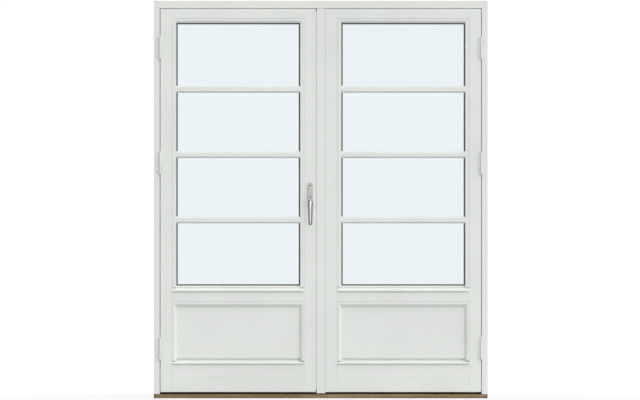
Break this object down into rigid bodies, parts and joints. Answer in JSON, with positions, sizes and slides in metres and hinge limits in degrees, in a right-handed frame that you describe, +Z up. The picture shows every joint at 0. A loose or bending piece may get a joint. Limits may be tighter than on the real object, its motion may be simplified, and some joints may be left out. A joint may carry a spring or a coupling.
{
  "type": "french doors",
  "caption": "Pair of white outward-opening french doors in a frame with an oak sill: glazed leaves with bars over a lower panel, lift-off hinges, false mullion and lever handle.",
  "frame": {"origin": "on the underside of the sill, at the middle of the frame's width and depth", "axes": "+Z up, +X to the right seen from the weather side, +Y into the house; the leaves open towards -Y"},
  "size_m": [1.78, 0.165, 2.12],
  "materials": {
    "white_paint": "sprayed off-white paint on planed pine, satin",
    "oiled_oak": "oiled oak with fine straight grain",
    "clear_glass": "clear float glass with a faint blue-green cast",
    "spacer_metal": "dark warm-edge spacer, matt",
    "black_rubber": "black extruded rubber, matt",
    "seal_rubber": "dark grey soft rubber, matt",
    "setting_plastic": "grey plastic, matt",
    "bar_tape": "pale grey foam tape, matt",
    "white_steel": "off-white powder coat on steel, satin",
    "plain_steel": "zinc-plated steel, satin",
    "satin_metal": "satin nickel-plated metal"
  },
  "bodies": {
    "frame": {"sill": "oiled_oak", "jamb_left": "white_paint", "jamb_right": "white_paint", "head": "white_paint", "frame_seal": "seal_rubber", "hinge_frame_halves": "white_steel", "hinge_pins": "plain_steel", "head_keeper": "plain_steel", "sill_keeper": "plain_steel"},
    "left_leaf": {"left_hinge_stile": "white_paint", "left_top_rail": "white_paint", "left_mid_rail": "white_paint", "left_bottom_rail": "white_paint", "left_panel": "white_paint", "left_glazing_beads": "white_paint", "left_panel_beads": "white_paint", "left_front_bars": "white_paint", "left_back_bars": "white_paint", "left_lock_stile": "white_paint", "left_outer_pane": "clear_glass", "left_inner_pane": "clear_glass", "left_spacer": "spacer_metal", "left_gaskets": "black_rubber", "left_setting_blocks": "setting_plastic", "left_bar_tapes": "bar_tape", "left_hinge_halves": "white_steel", "lock_case": "plain_steel", "lock_faceplate": "plain_steel", "outside_backplate": "satin_metal", "inside_backplate": "satin_metal"},
    "right_leaf": {"right_hinge_stile": "white_paint", "right_top_rail": "white_paint", "right_mid_rail": "white_paint", "right_bottom_rail": "white_paint", "right_panel": "white_paint", "right_glazing_beads": "white_paint", "right_panel_beads": "white_paint", "right_front_bars": "white_paint", "right_back_bars": "white_paint", "right_meeting_stile": "white_paint", "right_outer_pane": "clear_glass", "right_inner_pane": "clear_glass", "right_spacer": "spacer_metal", "right_gaskets": "black_rubber", "right_setting_blocks": "setting_plastic", "right_bar_tapes": "bar_tape", "right_hinge_halves": "white_steel", "mullion": "white_paint", "mullion_seal": "seal_rubber", "strike_plate": "plain_steel", "flush_bolt_plates": "plain_steel"},
    "handle": {"outside_lever": "satin_metal", "inside_lever": "satin_metal", "spindle": "plain_steel", "lock_follower": "plain_steel"},
    "upper_rod": {"upper_rod": "plain_steel"},
    "lower_rod": {"lower_rod": "plain_steel"},
    "deadbolt": {"deadbolt": "plain_steel"},
    "top_flush_bolt": {"top_flush_bolt": "plain_steel"},
    "bottom_flush_bolt": {"bottom_flush_bolt": "plain_steel"}
  },
  "joints": [
    {"name": "left_leaf_swing", "type": "hinge", "parent": "frame", "child": "left_leaf", "pos_m": [-0.857, -0.064, 0], "axis": [0, 0, -1], "range_deg": [0, 170]},
    {"name": "right_leaf_swing", "type": "hinge", "parent": "frame", "child": "right_leaf", "pos_m": [0.857, -0.064, 0], "axis": [0, 0, 1], "range_deg": [0, 170]},
    {"name": "handle_turn", "type": "hinge", "parent": "left_leaf", "child": "handle", "pos_m": [-0.055, 0, 1.046], "axis": [0, 1, 0], "range_deg": [0, 90]},
    {"name": "upper_rod_slide", "type": "slide", "parent": "left_leaf", "child": "upper_rod", "axis": [0, 0, 1], "range_m": [0, 0.02]},
    {"name": "lower_rod_slide", "type": "slide", "parent": "left_leaf", "child": "lower_rod", "axis": [0, 0, -1], "range_m": [0, 0.02]},
    {"name": "deadbolt_slide", "type": "slide", "parent": "left_leaf", "child": "deadbolt", "axis": [1, 0, 0], "range_m": [0, 0.014]},
    {"name": "top_flush_bolt_slide", "type": "slide", "parent": "right_leaf", "child": "top_flush_bolt", "axis": [0, 0, 1], "range_m": [0, 0.014]},
    {"name": "bottom_flush_bolt_slide", "type": "slide", "parent": "right_leaf", "child": "bottom_flush_bolt", "axis": [0, 0, -1], "range_m": [0, 0.014]}
  ],
  "couplings": [
    {"joint": "upper_rod_slide", "follows": "handle_turn", "m_per_rad": 0.01273},
    {"joint": "lower_rod_slide", "follows": "handle_turn", "m_per_rad": 0.01273},
    {"joint": "deadbolt_slide", "follows": "handle_turn", "m_per_rad": 0.0089}
  ]
}
